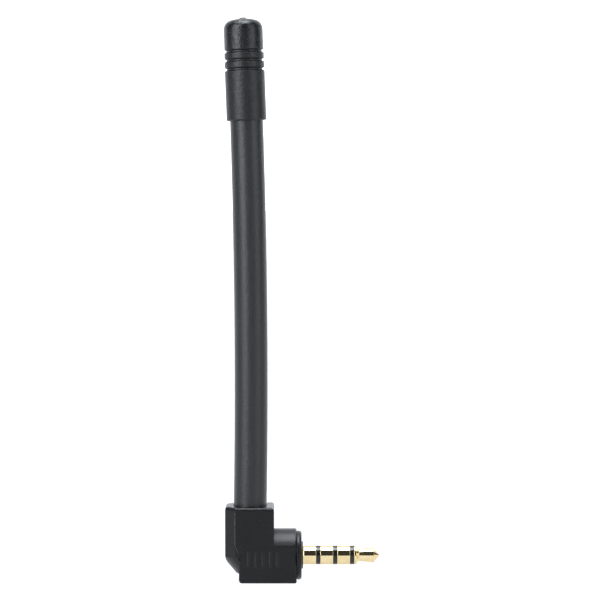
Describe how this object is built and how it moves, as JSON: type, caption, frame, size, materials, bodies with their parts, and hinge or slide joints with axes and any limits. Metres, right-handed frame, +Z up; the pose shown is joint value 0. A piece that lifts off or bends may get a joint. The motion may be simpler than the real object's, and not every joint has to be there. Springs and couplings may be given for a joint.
{
  "type": "plug-in FM antenna",
  "caption": "Short rubber whip antenna with a ringed end cap, standing in a right-angle housing with a four-pole 3.5 mm audio plug",
  "frame": {"origin": "on the plug's axis, at the shoulder where the plug leaves its collar", "axes": "+X along the plug towards its nose, +Z up along the whip, +Y towards the back"},
  "size_m": [0.0284, 0.009, 0.1027],
  "materials": {
    "housing_black": "moulded black plastic with a fine spark-eroded grain",
    "whip_rubber": "moulded black rubber, satin, with fine lengthways lines",
    "cap_rubber": "moulded black rubber, satin, with a fine grain",
    "contact_gold": "turned brass with a bright gold flash",
    "insulator_black": "moulded black insulating plastic, semi-gloss",
    "lug_tinned": "stamped brass, tinned",
    "washer_fibre": "punched brown insulating board",
    "wire_copper": "drawn bare copper",
    "solder_tin": "bright tin solder"
  },
  "bodies": {
    "root": {"housing_body": "housing_black", "housing_cover": "housing_black", "plug_base": "housing_black", "sleeve_contact": "contact_gold", "sleeve_insulator": "insulator_black", "ring_2_contact": "contact_gold", "ring_2_insulator": "insulator_black", "ring_1_contact": "contact_gold", "ring_1_insulator": "insulator_black", "tip_contact": "contact_gold", "sleeve_lug": "lug_tinned", "sleeve_lug_washer": "washer_fibre", "ring_2_lug": "lug_tinned", "ring_2_lug_washer": "washer_fibre", "ring_1_lug": "lug_tinned", "ring_1_lug_washer": "washer_fibre", "tip_lug": "lug_tinned", "radiator_wire": "wire_copper", "solder_joint": "solder_tin", "whip_jacket": "whip_rubber", "end_cap": "cap_rubber"}
  },
  "joints": []
}
